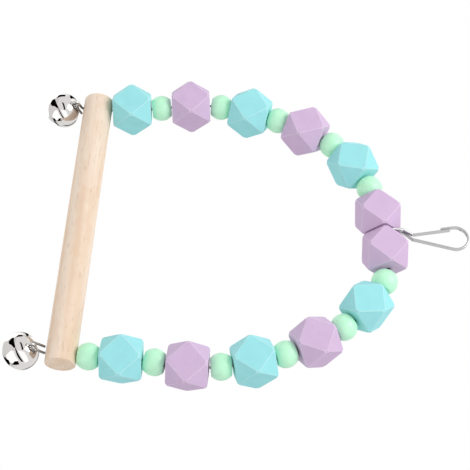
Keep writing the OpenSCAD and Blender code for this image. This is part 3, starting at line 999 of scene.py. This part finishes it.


# The stage


# Where the painted reflections show on a bell, as shares of its radius to the right and upwards: dark cards
# paint dark patches into the metal, and neither light nor shade anything
DARK_CARD_SHARES = (
    ((-0.6, 0.44), (-0.5, 0.62), (-0.36, 0.66), (-0.16, 0.2), (-0.22, 0.14), (-0.4, 0.28), (-0.58, 0.3)),
    ((-0.2, 0.18), (-0.14, 0.14), (0.02, -0.22), (0.18, -0.5), (0.1, -0.5), (-0.06, -0.22)),
    ((0.0, 0.5), (0.12, 0.44), (0.24, 0.08), (0.16, 0.06)),
    ((-0.34, -0.6), (-0.2, -0.46), (-0.04, -0.44), (-0.02, -0.6)),
)
# Where the glowing cards paint bright reflections on a bell; they glow, but they are no lamps and light
# nothing
BRIGHT_CARD_SHARES = (
    ((-0.76, 0.1), (-0.24, 0.02), (0.0, -0.46), (-0.66, -0.42)),
    ((-0.04, 0.06), (0.26, -0.02), (0.42, -0.5), (0.26, -0.56)),
)


def painted_reflection_card(name, corners, finish):
    """Card that only reflections see: a painted reflection, dark or glowing, which neither lights nor shades
    the swing
    """
    bm = bmesh.new()
    bm.faces.new([bm.verts.new(corner) for corner in corners])
    card = new_piece(name, mesh_from(bm, name), finish)
    for rays in ("camera", "diffuse", "transmission", "shadow"):
        setattr(card, "visible_" + rays, False)


def build_painted_reflections(centre, reach, across, above, back):
    """Painted reflections round the swing: dark and glowing cards that only its metal mirrors, alike from the
    front and from behind
    """
    shapes = []
    # Dark cards paint dark reflections; glowing cards, which are no lamps, paint bright reflections
    for kind, stuff, glow, distance, cards in (
        ("dark", "black_felt_card", 0, reach, DARK_CARD_SHARES),
        ("bright", "lit_silk_card", 1.5, 1.5 * reach, BRIGHT_CARD_SHARES),
    ):
        finish, _, shader = finish_of(stuff, srgb("#050505"), roughness=1, specular=0)
        shader.inputs["Emission Strength"].default_value = glow
        shapes += [(kind, shares, finish, distance) for shares in cards]
    for side in range(2):
        turn = Matrix.Rotation(math.pi * side, 3, "Z")
        for number, (kind, shares, finish, distance) in enumerate(shapes):
            corners = []
            for right, upward in shares:
                facing = math.sqrt(1 - right ** 2 - upward ** 2)
                normal = across * right + above * upward + back * facing
                mirrored = 2 * facing * normal - back
                corners.append(centre + turn @ mirrored * distance)
            painted_reflection_card(f"{kind}_card_{side}_{number}", corners, finish)


def build_stage(context):
    """Camera at the photograph's angle, pale floor, soft light, and cards for the metal to mirror"""
    scene = context.scene
    stage, colours = scene.swing_stage, scene.swing_colours
    target = Vector(stage.target)
    # From looking straight down, the camera is rolled, raised and turned to its side, last line first
    look = Matrix.Rotation(stage.azimuth, 4, "Z")
    look @= Matrix.Rotation(math.pi / 2 - stage.elevation, 4, "X")
    look @= Matrix.Rotation(stage.roll, 4, "Z")
    across, above, back = (column.to_3d() for column in look.col[:3])
    lens = bpy.data.cameras.new("camera")
    lens.lens = stage.focal
    lens.clip_start = 10 * MM
    scene.camera = new_piece("camera", lens)
    scene.camera.matrix_world = Matrix.Translation(target + back * stage.distance) @ look

    bm = bmesh.new()
    bmesh.ops.create_grid(bm, x_segments=1, y_segments=1, size=stage.floor_size / 2)
    bm.transform(Matrix.Translation((0, 0, -stage.floor_depth)))
    # The camera sees the floor a little lighter than it is lit, so that it runs into the white backdrop
    matte, tree, shader = finish_of("pale_studio_floor", colours.floor, roughness=0.9)
    seen = add(tree, "ShaderNodeLightPath").outputs["Is Camera Ray"]
    lift = add(tree, "ShaderNodeMath", {0: seen}, {1: stage.floor_lift}, operation="MULTIPLY")
    feed(shader, {"Emission Strength": lift})
    new_piece("floor", mesh_from(bm, "floor"), matte)

    # The softbox hangs beside the camera, above and to the right of it in the photograph's frame
    softbox = bpy.data.lights.new("softbox", "AREA")
    softbox.energy = stage.key_power
    softbox.size = stage.key_size
    lamp = new_piece("softbox", softbox)
    aim = (across * math.tan(stage.key_right) + above * math.tan(stage.key_up) + back).normalized()
    facing = (-aim).to_track_quat("-Z", "Y").to_matrix().to_4x4()
    lamp.matrix_world = Matrix.Translation(target + aim * stage.key_distance) @ facing

    # The backdrop is white where the camera or a reflection sees it, and gives less light than that
    scene.world = bpy.data.worlds.new("studio")
    scene.world.use_nodes = True
    tree = scene.world.node_tree
    ray = add(tree, "ShaderNodeLightPath").outputs
    seen = ray["Is Camera Ray"]
    for other in ("Is Glossy Ray", "Is Transmission Ray"):
        seen = add(tree, "ShaderNodeMath", {0: seen, 1: ray[other]}, operation="MAXIMUM")
    strength = add(tree, "ShaderNodeMapRange", {"Value": seen}, {"To Min": stage.ambient})
    light = tree.nodes["Background"]
    light.inputs["Color"].default_value = (1, 1, 1, 1)
    feed(light, {"Strength": strength})

    # Cards that paint dark and bright reflections into the metal; nothing but reflections sees them
    between_bells = (pivot("far_bell_swing") + pivot("near_bell_swing")) / 2
    build_painted_reflections(between_bells, stage.painted_reflection_reach, across, above, back)
    scene.view_settings.view_transform = "Standard"


# Operators, panel and registration


class SWING_OT_perch(bpy.types.Operator):
    """Turns the perch and drills its cross holes"""

    bl_idname = "swing.perch"
    bl_label = "Perch"

    def execute(self, context):
        build_perch(context)
        return {"FINISHED"}


class SWING_OT_faceted_beads(bpy.types.Operator):
    """Cuts, bores and paints the faceted beads"""

    bl_idname = "swing.faceted_beads"
    bl_label = "Faceted Beads"

    def execute(self, context):
        build_beads(context, True)
        return {"FINISHED"}


class SWING_OT_round_beads(bpy.types.Operator):
    """Turns, bores and lacquers the round beads"""

    bl_idname = "swing.round_beads"
    bl_label = "Round Beads"

    def execute(self, context):
        build_beads(context, False)
        return {"FINISHED"}


class SWING_OT_wire(bpy.types.Operator):
    """Bends the frame wire through the perch and the beads"""

    bl_idname = "swing.wire"
    bl_label = "Frame Wire"

    def execute(self, context):
        build_wire(context)
        return {"FINISHED"}


class SWING_OT_clip(bpy.types.Operator):
    """Bends the strip of the spring clip"""

    bl_idname = "swing.clip"
    bl_label = "Spring Clip"

    def execute(self, context):
        build_clip(context)
        return {"FINISHED"}


class SWING_OT_bells(bpy.types.Operator):
    """Presses both jingle bells and bends their shanks"""

    bl_idname = "swing.bells"
    bl_label = "Jingle Bells"

    def execute(self, context):
        build_bells(context)
        return {"FINISHED"}


class SWING_OT_stage(bpy.types.Operator):
    """Sets up the camera, the floor and the light"""

    bl_idname = "swing.stage"
    bl_label = "Stage"

    def execute(self, context):
        build_stage(context)
        return {"FINISHED"}


STEPS = ("stage", "perch", "faceted_beads", "round_beads", "wire", "clip", "bells")
GROUPS = {
    "swing_beads": SwingBeads,
    "swing_perch": SwingPerch,
    "swing_wire": SwingWire,
    "swing_clip": SwingClip,
    "swing_bells": SwingBells,
    "swing_colours": SwingColours,
    "swing_stage": SwingStage,
}


class SWING_PT_sidebar(bpy.types.Panel):
    """Buttons that build the swing, and its sizes and colours"""

    bl_idname = "SWING_PT_sidebar"
    bl_label = "Bird Swing"
    bl_space_type = "VIEW_3D"
    bl_region_type = "UI"
    bl_category = "Swing"

    def draw(self, context):
        for step in STEPS:
            self.layout.operator("swing." + step)
        for name, group in GROUPS.items():
            box = self.layout.box()
            for prop in group.__annotations__:
                box.prop(getattr(context.scene, name), prop)


CLASSES = (
    SWING_OT_perch,
    SWING_OT_faceted_beads,
    SWING_OT_round_beads,
    SWING_OT_wire,
    SWING_OT_clip,
    SWING_OT_bells,
    SWING_OT_stage,
    SWING_PT_sidebar,
)


def register():
    for group in GROUPS.values():
        bpy.utils.register_class(group)
    for cls in CLASSES:
        bpy.utils.register_class(cls)
    for name, group in GROUPS.items():
        setattr(bpy.types.Scene, name, bpy.props.PointerProperty(type=group))


def unregister():
    for name in GROUPS:
        delattr(bpy.types.Scene, name)
    for cls in (*CLASSES, *GROUPS.values()):
        bpy.utils.unregister_class(cls)


def main():
    register()
    for step in STEPS:
        getattr(bpy.ops.swing, step)()


if __name__ == "__main__":
    main()
